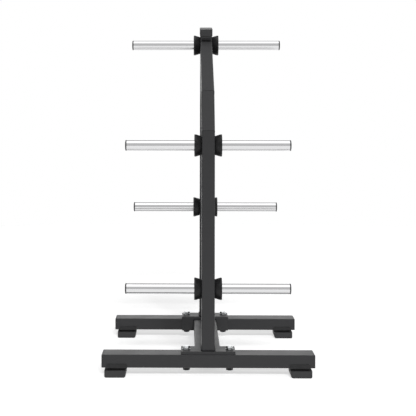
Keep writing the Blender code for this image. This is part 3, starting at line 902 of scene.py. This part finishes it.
class PLATETREE_OT_horns(bpy.types.Operator):
    """Chromed horns with a ground edge at the open end"""

    bl_idname = "plate_tree.horns"
    bl_label = "Horns"

    def execute(self, context):
        sizes = context.scene.plate_tree_sizes
        _, extent = node_span("horn_2_right")
        length, radius = extent.x, extent.z / 2
        inner, edge = radius - sizes.horn_wall, sizes.horn_chamfer
        profile = [(inner, 0.0), (inner, length - edge / 2), (inner + edge / 2, length)]
        profile += rounding(radius - edge, length - edge, edge, 90, 0, 4)
        profile += [(radius, 0.0), (inner, 0.0)]
        horn = turned("horn", profile, HORN_SIDES)
        smooth(horn)
        place_on_horns(horn, "horn", "_chrome", "chrome")
        return {"FINISHED"}


class PLATETREE_OT_plugs(bpy.types.Operator):
    """Domed plastic plugs in the horns"""

    bl_idname = "plate_tree.plugs"
    bl_label = "Horn plugs"

    def execute(self, context):
        sizes = context.scene.plate_tree_sizes
        _, extent = node_span("horn_cap_2_right")
        radius = extent.z / 2
        head = extent.x - sizes.plug_depth
        round_over = head - sizes.plug_rim - sizes.plug_dome
        inner = radius - sizes.horn_wall - sizes.horn_chamfer / 2
        valley = inner - RIB_DEPTH
        profile = [(radius * share, head - sizes.plug_dome * fall) for share, fall in DOME]
        profile += rounding(radius - round_over, sizes.plug_rim, round_over, 80, 0, 5)
        profile += [(radius, PLUG_EDGE), (radius - PLUG_EDGE, 0.0), (inner, 0.0)]
        for rib in range(RIBS):
            crest = -sizes.plug_depth * (rib + RIB_PLACE) / RIBS
            profile += [(valley, crest + RIB_RISE), (inner, crest), (valley, crest - RIB_FALL)]
        profile += [(inner - SLEEVE_DRAW, -sizes.plug_depth), (0.0, -sizes.plug_depth)]
        plug = turned("plug", profile, HORN_SIDES)
        smooth(plug)
        place_on_horns(plug, "horn_cap", "_plug", "plastic", sizes.plug_depth)
        return {"FINISHED"}


class PLATETREE_OT_cones(bpy.types.Operator):
    """Rubber cones that stop the plates"""

    bl_idname = "plate_tree.cones"
    bl_label = "Rubber cones"

    def execute(self, context):
        sizes = context.scene.plate_tree_sizes
        _, extent = node_span("horn_cone_2_right")
        _, horn = node_span("horn_2_right")
        length, rim, bore = extent.x, extent.z / 2, horn.z / 2
        small = bore + (rim - bore) * CONE_SMALL_END
        edge = sizes.cone_round
        dish = length - sizes.cone_dish
        face = rim - sizes.cone_rim
        profile = [(bore, 0.0), (bore, dish), (face - sizes.cone_dish, dish)]
        profile += [(face - CONE_EASE_IN * edge, length - CONE_EASE_DOWN * edge)]
        profile += rounding(face + edge, length - edge, edge, 110, 90, 2)
        profile += rounding(rim - edge, length - edge, edge, 90, 0, 5)
        profile += rounding(rim - edge, length - sizes.cone_rim + edge, edge, 0, -40, 3)
        profile += rounding(small - edge, edge, edge, -10, -90, 4)
        profile += [(bore, 0.0)]
        cone = turned("cone", profile, HORN_SIDES)
        smooth(cone, 30)
        place_on_horns(cone, "horn_cone", "_rubber", "rubber")
        return {"FINISHED"}


class PLATETREE_OT_bolts(bpy.types.Operator):
    """Hexagon bolts that stand head up through the brackets and feet"""

    bl_idname = "plate_tree.bolts"
    bl_label = "Bolts"

    def execute(self, context):
        sizes = context.scene.plate_tree_sizes
        low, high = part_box("bolt_front_right")
        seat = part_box("bolt_washer_front_right")[1].z + CLEARANCE
        nut_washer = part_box("nut_washer_front_right")[1].z
        flats = high.y - low.y
        collar = flats / 2 * COLLAR_FLAT
        radius, depth, pitch = SHANK_RADIUS, sizes.thread_depth, sizes.thread_pitch
        profile = [(0.0, seat + COLLAR_JOIN), (collar, seat + COLLAR_JOIN), (collar, seat)]
        profile += [(radius, seat), (radius, nut_washer)]
        profile += thread_profile(radius, depth, pitch, nut_washer - THREAD_START, low.z + THREAD_END)
        profile += [(radius - depth, low.z + POINT_HEIGHT), (radius - POINT_DRAW, low.z), (0.0, low.z)]
        bolt = chamfered_hexagon("bolt_head", flats, seat + COLLAR_HEIGHT, high.z, False)
        combine(bolt, turned("bolt_shank", profile, BOLT_SIDES), "UNION")
        smooth(bolt, 30)
        place_at_feet(bolt, "bolt_{}_plated", "zinc", "bolt_{}")
        return {"FINISHED"}


class PLATETREE_OT_nuts(bpy.types.Operator):
    """Hexagon nuts below the feet"""

    bl_idname = "plate_tree.nuts"
    bl_label = "Nuts"

    def execute(self, context):
        low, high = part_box("nut_front_right")
        nut = chamfered_hexagon("nut", high.y - low.y, low.z, high.z, True)
        combine(nut, rod("nut_bore", SHANK_RADIUS + CLEARANCE, low.z - PAST, high.z + PAST), "DIFFERENCE")
        smooth(nut, 30)
        place_at_feet(nut, "nut_{}_black", "black_steel", "nut_{}")
        return {"FINISHED"}


class PLATETREE_OT_washers(bpy.types.Operator):
    """Punched washers with a rolled upper edge"""

    bl_idname = "plate_tree.washers"
    bl_label = "Washers"

    def execute(self, context):
        for nodes, finish in (("bolt_washer_{}", "zinc"), ("nut_washer_{}", "black_steel")):
            low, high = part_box(nodes.format("front_right"))
            radius, thickness = (high.x - low.x) / 2, high.z - low.z
            bore = SHANK_RADIUS + CLEARANCE
            ease_start = (bore, thickness * WASHER_EASE_START)
            profile = [ease_start, (bore + WASHER_EASE, thickness)]
            profile += rounding(radius - WASHER_ROLL, thickness - WASHER_ROLL, WASHER_ROLL, 90, 0, 4)
            profile += [(radius, HAIR), (radius - HAIR, 0.0), (bore, 0.0), ease_start]
            washer = turned("washer", profile, WASHER_SIDES)
            smooth(washer)
            place_at_feet(washer, nodes + "_disc", finish, nodes, low.z)
        return {"FINISHED"}


class PLATETREE_OT_screws(bpy.types.Operator):
    """Socket screws that hold the rubber feet from below"""

    bl_idname = "plate_tree.screws"
    bl_label = "Rubber foot screws"

    def execute(self, context):
        sizes = context.scene.plate_tree_sizes
        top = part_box("front_foot_tube")[0].z + SCREW_REACH
        seat, under = sizes.screw_pocket - HAIR, sizes.screw_pocket - sizes.screw_head
        radius, rim = sizes.screw_radius, sizes.screw_head_radius
        profile = [(0.0, top), (radius - SCREW_END, top), (radius, top - SCREW_END), (radius, seat)]
        profile += [(rim, seat), (rim, under + SCREW_HEAD_EDGE), (rim - SCREW_HEAD_EDGE, under), (0.0, under)]
        screw = turned("screw", profile, BOLT_SIDES)
        socket = hexagon_prism("socket", sizes.screw_socket, under - PAST, under + SOCKET_DEPTH)
        combine(screw, socket, "DIFFERENCE")
        smooth(screw, 30)
        place_at_feet(screw, "rubber_foot_screw_{}", "black_steel", "rubber_foot_{}", stands_for_nodes=False)
        return {"FINISHED"}


class PLATETREE_OT_welds(bpy.types.Operator):
    """Weld beads at the feet of the uprights, the beam's ends, the mitres and the web plates"""

    bl_idname = "plate_tree.welds"
    bl_label = "Weld beads"

    def execute(self, context):
        sizes = context.scene.plate_tree_sizes
        radius, seam, ripple = sizes.weld_radius, sizes.seam_radius, sizes.weld_ripple
        crown_end, crown_top = in_side_view(REAR_LEAN), in_side_view(180 - CROWN_LEAN)
        for name, node, degrees, thickness, sunk in (
            ("weld_front_foot", "front_upright", -90, radius, radius),
            ("weld_rear_foot", "rear_upright", -90, radius, radius),
            ("weld_beam_front", "centre_beam", 180, radius, radius),
            ("weld_beam_rear", "centre_beam", 0, radius, radius),
            ("seam_knee", "front_upright", 90 - KNEE_LEAN / 2, seam, 0.0),
            ("seam_crown", "front_upright_knee", 90 - (KNEE_LEAN + CROWN_LEAN) / 2, seam, 0.0),
            ("seam_crown_end", "front_upright_crown", REAR_LEAN, seam, 0.0),
        ):
            toward = in_side_view(degrees)
            rail = rail_along(node, name, toward)
            settle(rail, -sunk * toward)
            bead(rail, thickness, ripple)
        # Real weld at the crown's top, made wide and moved up the rear upright so that its dark colour paints
        # the shade in the band under the top cap
        shade_band_bead = rail_along("front_upright_crown", "weld_crown_top_painted_shade", crown_end, crown_top)
        settle(shade_band_bead, in_side_view(90 + REAR_LEAN) * sizes.crown_shade_bead_radius)
        bead(shade_band_bead, sizes.crown_shade_bead_radius, ripple)
        bead(rail_along("front_upright_crown", "weld_crown_underside", crown_end, -crown_top), radius, ripple)
        for side, sign in SIDES.items():
            node, aside = "crown_gusset_" + side, Vector((sign, 0.0, 0.0))
            for edge, toward in (("crown", crown_top), ("upright", crown_end)):
                bead(rail_along(node, f"weld_web_{edge}_{side}", toward, aside), seam * WEB_BEAD, ripple)
        return {"FINISHED"}


class PLATETREE_OT_stage(bpy.types.Operator):
    """Pale seamless floor, soft light and the camera"""

    bl_idname = "plate_tree.stage"
    bl_label = "Studio"

    def execute(self, context):
        self.lay_floor(context)
        self.set_world(context)
        self.hang_lamp(context)
        self.set_camera(context)
        context.scene.view_settings.view_transform = "Standard"
        return {"FINISHED"}

    def lay_floor(self, context):
        """Round seamless floor, as white to the camera as the room, so that its rim doesn't show."""
        deselect()
        radius = context.scene.plate_tree_stage.floor_radius
        bpy.ops.mesh.primitive_circle_add(vertices=FLOOR_SIDES, radius=radius, fill_type="NGON")
        floor = named(context.active_object, "studio_floor")
        edit(floor)
        bpy.ops.mesh.inset(thickness=FLOOR_RING)
        leave_edit()
        paper, tree, place = new_material("seamless_paper")
        patches = {"Vector": place, "Scale": per_metre(40.0), "Detail": 4.0}
        cloud = add_node(tree, "ShaderNodeTexNoise", patches).outputs["Fac"]
        colour = context.scene.plate_tree_colours.floor
        ends = {"A": four(colour, 0.995), "B": four(colour)}
        shade = add_node(tree, "ShaderNodeMix", {"Factor": cloud, **ends}, data_type="RGBA")
        path = add_node(tree, "ShaderNodeLightPath").outputs
        rays = {0: path["Is Glossy Ray"], 1: path["Is Transmission Ray"]}
        mirrored = add_node(tree, "ShaderNodeMath", rays, operation="MAXIMUM").outputs[0]
        glow = add_node(tree, "ShaderNodeMath", {0: mirrored, 1: FLOOR_MIRRORED}, operation="MULTIPLY")
        seen = {0: path["Is Camera Ray"], 1: FLOOR_SEEN, 2: glow.outputs[0]}
        lift = add_node(tree, "ShaderNodeMath", seen, operation="MULTIPLY_ADD").outputs[0]
        inputs = {"Base Color": shade.outputs["Result"], "Roughness": 0.9, "Specular IOR Level": 0.0}
        close_material(tree, {**inputs, "Emission Color": WHITE, "Emission Strength": lift})
        floor.data.materials.append(paper)

    def set_world(self, context):
        """Studio around the object, white wherever the camera looks at it."""
        world = bpy.data.worlds.new("studio")
        context.scene.world = world
        world.use_nodes = True
        tree = world.node_tree
        tree.nodes.clear()
        place = add_node(tree, "ShaderNodeTexCoord")
        axes = add_node(tree, "ShaderNodeSeparateXYZ", {"Vector": place.outputs["Generated"]}).outputs
        height = add_node(tree, "ShaderNodeMath", {0: axes["Z"]}, operation="ABSOLUTE").outputs[0]
        angle = add_node(tree, "ShaderNodeMath", {0: height, 1: axes["Y"]}, operation="ARCTAN2").outputs[0]
        way = add_node(tree, "ShaderNodeMapRange", {"Value": angle, "From Min": math.pi, "From Max": 0.0})
        walls = add_node(tree, "ShaderNodeValToRGB", {"Fac": way.outputs["Result"]})
        stops = walls.color_ramp.elements
        while len(stops) < len(ROOM):
            stops.new(0.5)
        for stop, (degrees, level) in zip(stops, ROOM):
            stop.position = degrees / 180
            stop.color = four([level / ROOM_STRENGTH] * 3)
        beside = add_node(tree, "ShaderNodeMath", {0: axes["X"]}, operation="ABSOLUTE").outputs[0]
        spread = {0: height, 1: -OVERHEAD_SPREAD, 2: beside}
        aside = add_node(tree, "ShaderNodeMath", spread, operation="MULTIPLY_ADD").outputs[0]
        reach = {"From Min": SIDE_FADE_START, "From Max": SIDE_FADE_END}
        reach.update({"To Min": ROOM_STRENGTH, "To Max": ROOM_STRENGTH * SIDE_LEVEL})
        fade = add_node(tree, "ShaderNodeMapRange", {"Value": aside, **reach}).outputs["Result"]
        path = add_node(tree, "ShaderNodeLightPath").outputs
        dull = {"Value": path["Is Diffuse Ray"], "To Min": 1.0, "To Max": ROOM_DIFFUSE}
        share = add_node(tree, "ShaderNodeMapRange", dull).outputs["Result"]
        level = add_node(tree, "ShaderNodeMath", {0: fade, 1: share}, operation="MULTIPLY").outputs[0]
        room = add_node(tree, "ShaderNodeBackground", {"Color": walls.outputs["Color"], "Strength": level})
        paper = add_node(tree, "ShaderNodeBackground", {"Color": WHITE, "Strength": 1.0})
        either = {"Fac": path["Is Camera Ray"], 1: room.outputs["Background"], 2: paper.outputs["Background"]}
        shown = add_node(tree, "ShaderNodeMixShader", either)
        add_node(tree, "ShaderNodeOutputWorld", {"Surface": shown.outputs["Shader"]})

    def hang_lamp(self, context):
        """Soft lamp in front, far enough to light top and bottom alike, and unseen in the chrome."""
        deselect()
        rise, aside = math.radians(KEY_RISE), math.radians(KEY_ASIDE)
        turn = Matrix.Rotation(aside, 4, "Z") @ Matrix.Rotation(-rise, 4, "X")
        place = KEY_AIM + turn @ Vector((0.0, -KEY_DISTANCE, 0.0))
        bpy.ops.object.light_add(type="AREA", location=place)
        lamp = named(context.active_object, "key_softbox")
        lamp.data.shape = "RECTANGLE"
        lamp.data.size = KEY_WIDTH
        lamp.data.size_y = KEY_HEIGHT
        lamp.data.energy = KEY_WATTS
        lamp.visible_glossy = False
        lamp.rotation_euler = (KEY_AIM - place).to_track_quat("-Z", "Y").to_euler()

    def set_camera(self, context):
        """Level camera at the photograph's place, with its frame moved down to the object."""
        deselect()
        stage = context.scene.plate_tree_stage
        bpy.ops.object.camera_add()
        camera = named(context.active_object, "camera")
        camera.data.lens = stage.lens
        camera.data.shift_x = stage.shift_x
        camera.data.shift_y = stage.shift_y
        turn = Matrix.Rotation(stage.camera_turn, 4, "Z") @ Matrix.Rotation(math.pi / 2, 4, "X")
        roll = Matrix.Rotation(stage.camera_roll, 4, "Z")
        camera.matrix_world = Matrix.Translation(stage.camera_place) @ turn @ roll
        context.scene.camera = camera


class PLATETREE_PT_panel(bpy.types.Panel):
    """Buttons and settings of the plate tree"""

    bl_idname = "PLATETREE_PT_panel"
    bl_label = "Plate Tree"
    bl_space_type = "VIEW_3D"
    bl_region_type = "UI"
    bl_category = "Plate Tree"

    def draw(self, context):
        layout = self.layout
        for operator in OPERATORS:
            layout.operator(operator.bl_idname)
        for group in GROUPS.values():
            settings = getattr(context.scene, group)
            for key in settings.bl_rna.properties.keys():
                if key not in ("name", "rna_type"):
                    layout.prop(settings, key)


OPERATORS = (
    PLATETREE_OT_tubes,
    PLATETREE_OT_plates,
    PLATETREE_OT_caps,
    PLATETREE_OT_rubber_feet,
    PLATETREE_OT_horns,
    PLATETREE_OT_plugs,
    PLATETREE_OT_cones,
    PLATETREE_OT_bolts,
    PLATETREE_OT_nuts,
    PLATETREE_OT_washers,
    PLATETREE_OT_screws,
    PLATETREE_OT_welds,
    PLATETREE_OT_stage,
)
GROUPS = {
    PlateTreeSizes: "plate_tree_sizes",
    PlateTreeColours: "plate_tree_colours",
    PlateTreeStage: "plate_tree_stage",
}


def register():
    """Register classes and settings."""
    for group, name in GROUPS.items():
        bpy.utils.register_class(group)
        setattr(bpy.types.Scene, name, bpy.props.PointerProperty(type=group))
    for operator in OPERATORS:
        bpy.utils.register_class(operator)
    bpy.utils.register_class(PLATETREE_PT_panel)


def unregister():
    """Undo register."""
    bpy.utils.unregister_class(PLATETREE_PT_panel)
    for operator in reversed(OPERATORS):
        bpy.utils.unregister_class(operator)
    for group, name in GROUPS.items():
        delattr(bpy.types.Scene, name)
        bpy.utils.unregister_class(group)


def main():
    """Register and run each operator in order."""
    register()
    for operator in OPERATORS:
        name = operator.bl_idname.split(".")[1]
        if "FINISHED" not in getattr(bpy.ops.plate_tree, name)():
            raise RuntimeError(operator.bl_label + " did not finish")


if __name__ == "__main__":
    main()
